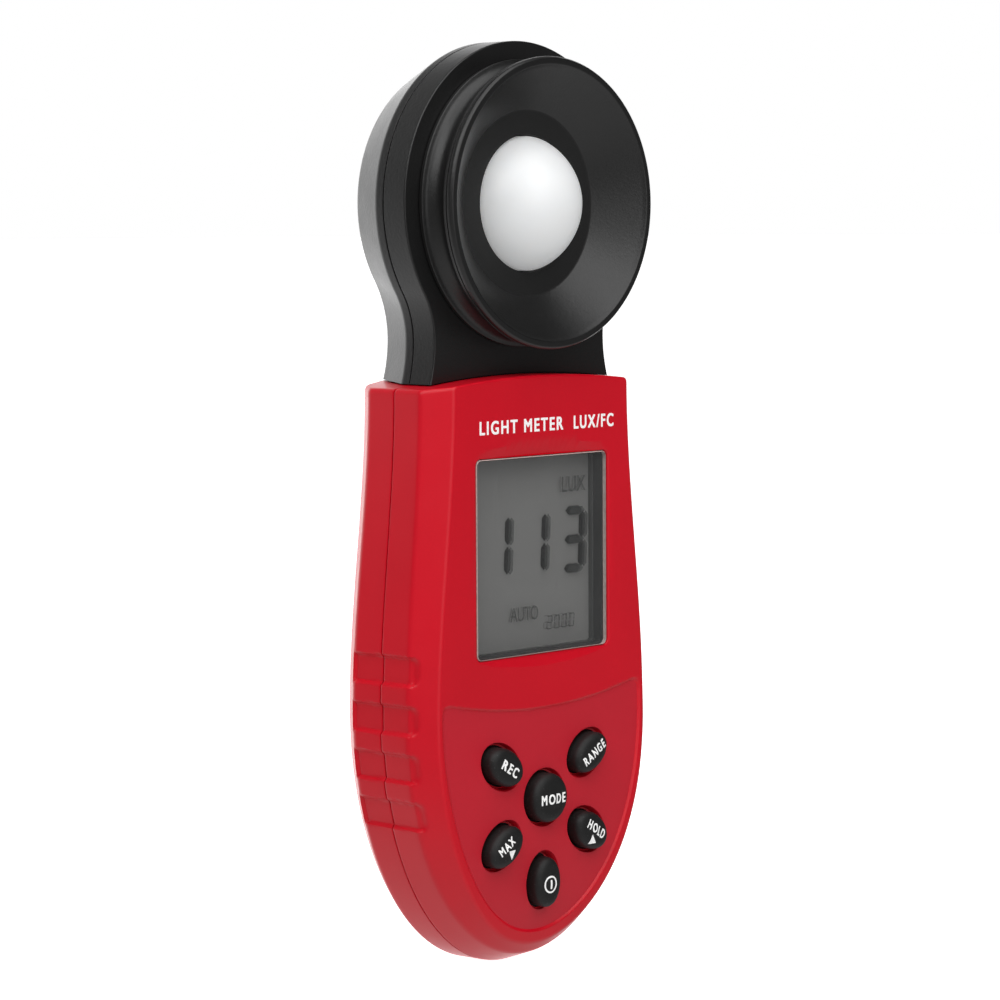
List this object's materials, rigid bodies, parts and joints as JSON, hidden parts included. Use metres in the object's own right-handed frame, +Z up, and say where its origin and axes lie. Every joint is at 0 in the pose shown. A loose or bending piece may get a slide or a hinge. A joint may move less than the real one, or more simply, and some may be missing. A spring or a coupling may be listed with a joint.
{
  "type": "handheld light meter",
  "caption": "Handheld light meter: a red grip with a display window and oval keys, and a black round sensor head with a white diffusing dome in a dished collar.",
  "frame": {"origin": "middle of the whole object's box", "axes": "+Z up the meter from the grip's rounded end to the sensor head, -Y out of the face with the display and keys, +X to the right as the display is read"},
  "size_m": [0.0712, 0.0314, 0.1894],
  "materials": {
    "red_abs": "satin moulded, fine grain",
    "black_abs": "satin moulded, fine grain",
    "diffuser_white": "translucent white, soft gloss",
    "lens_clear": "clear polished acrylic",
    "lcd_grey": "reflective grey display glass",
    "key_rubber": "soft matt silicone",
    "circuit_board": "green solder resist",
    "chip_black": "moulded epoxy",
    "white_nylon": "plain moulded",
    "contact_rubber": "layered conductive rubber",
    "ribbon_grey": "flat ribbon insulation",
    "filter_glass": "green colour-correcting glass",
    "light_cell": "silicon cell under clear epoxy",
    "switch_metal": "pressed steel",
    "contact_nickel": "nickel-plated spring strip",
    "battery_wrap": "printed shrink wrap over a steel can",
    "zinc_steel": "zinc-plated steel"
  },
  "bodies": {
    "meter": {"front_shell": "red_abs", "rear_shell": "red_abs", "head_front_shell": "black_abs", "head_rear_shell": "black_abs", "bezel_cup": "black_abs", "diffuser_dome": "diffuser_white", "sensor_holder": "black_abs", "correction_filter": "filter_glass", "photodiode": "light_cell", "sensor_board": "circuit_board", "sensor_ribbon": "ribbon_grey", "display_lens": "lens_clear", "lcd_glass": "lcd_grey", "lcd_frame": "black_abs", "zebra_strip_upper": "contact_rubber", "zebra_strip_lower": "contact_rubber", "main_board": "circuit_board", "processor_chip": "chip_black", "ribbon_connector": "white_nylon", "switch_mode": "switch_metal", "switch_rec": "switch_metal", "switch_range": "switch_metal", "switch_max": "switch_metal", "switch_hold": "switch_metal", "switch_power": "switch_metal", "battery_1": "battery_wrap", "battery_2": "battery_wrap", "battery_3": "battery_wrap", "battery_contact_lower": "contact_nickel", "battery_contact_upper": "contact_nickel", "case_screw_1": "zinc_steel", "case_screw_2": "zinc_steel", "case_screw_3": "zinc_steel", "case_screw_4": "zinc_steel", "head_screw_1": "zinc_steel", "head_screw_2": "zinc_steel", "head_screw_3": "zinc_steel"},
    "mode_cap": {"key_mode": "key_rubber"},
    "rec_cap": {"key_rec": "key_rubber"},
    "range_cap": {"key_range": "key_rubber"},
    "max_cap": {"key_max": "key_rubber"},
    "hold_cap": {"key_hold": "key_rubber"},
    "power_cap": {"key_power": "key_rubber"},
    "bay_door": {"battery_door": "red_abs"}
  },
  "joints": [
    {"name": "mode_press", "type": "slide", "parent": "meter", "child": "mode_cap", "axis": [0, 1, 0], "range_m": [0, 0.0008], "stiffness_N_per_m": 500},
    {"name": "rec_press", "type": "slide", "parent": "meter", "child": "rec_cap", "axis": [0, 1, 0], "range_m": [0, 0.0008], "stiffness_N_per_m": 500},
    {"name": "range_press", "type": "slide", "parent": "meter", "child": "range_cap", "axis": [0, 1, 0], "range_m": [0, 0.0008], "stiffness_N_per_m": 500},
    {"name": "max_press", "type": "slide", "parent": "meter", "child": "max_cap", "axis": [0, 1, 0], "range_m": [0, 0.0008], "stiffness_N_per_m": 500},
    {"name": "hold_press", "type": "slide", "parent": "meter", "child": "hold_cap", "axis": [0, 1, 0], "range_m": [0, 0.0008], "stiffness_N_per_m": 500},
    {"name": "power_press", "type": "slide", "parent": "meter", "child": "power_cap", "axis": [0, 1, 0], "range_m": [0, 0.0008], "stiffness_N_per_m": 500},
    {"name": "door_tilt", "type": "hinge", "parent": "meter", "child": "bay_door", "pos_m": [0, 0.01565, -0.0695], "axis": [-1, 0, 0], "range_deg": [0, 70]}
  ]
}
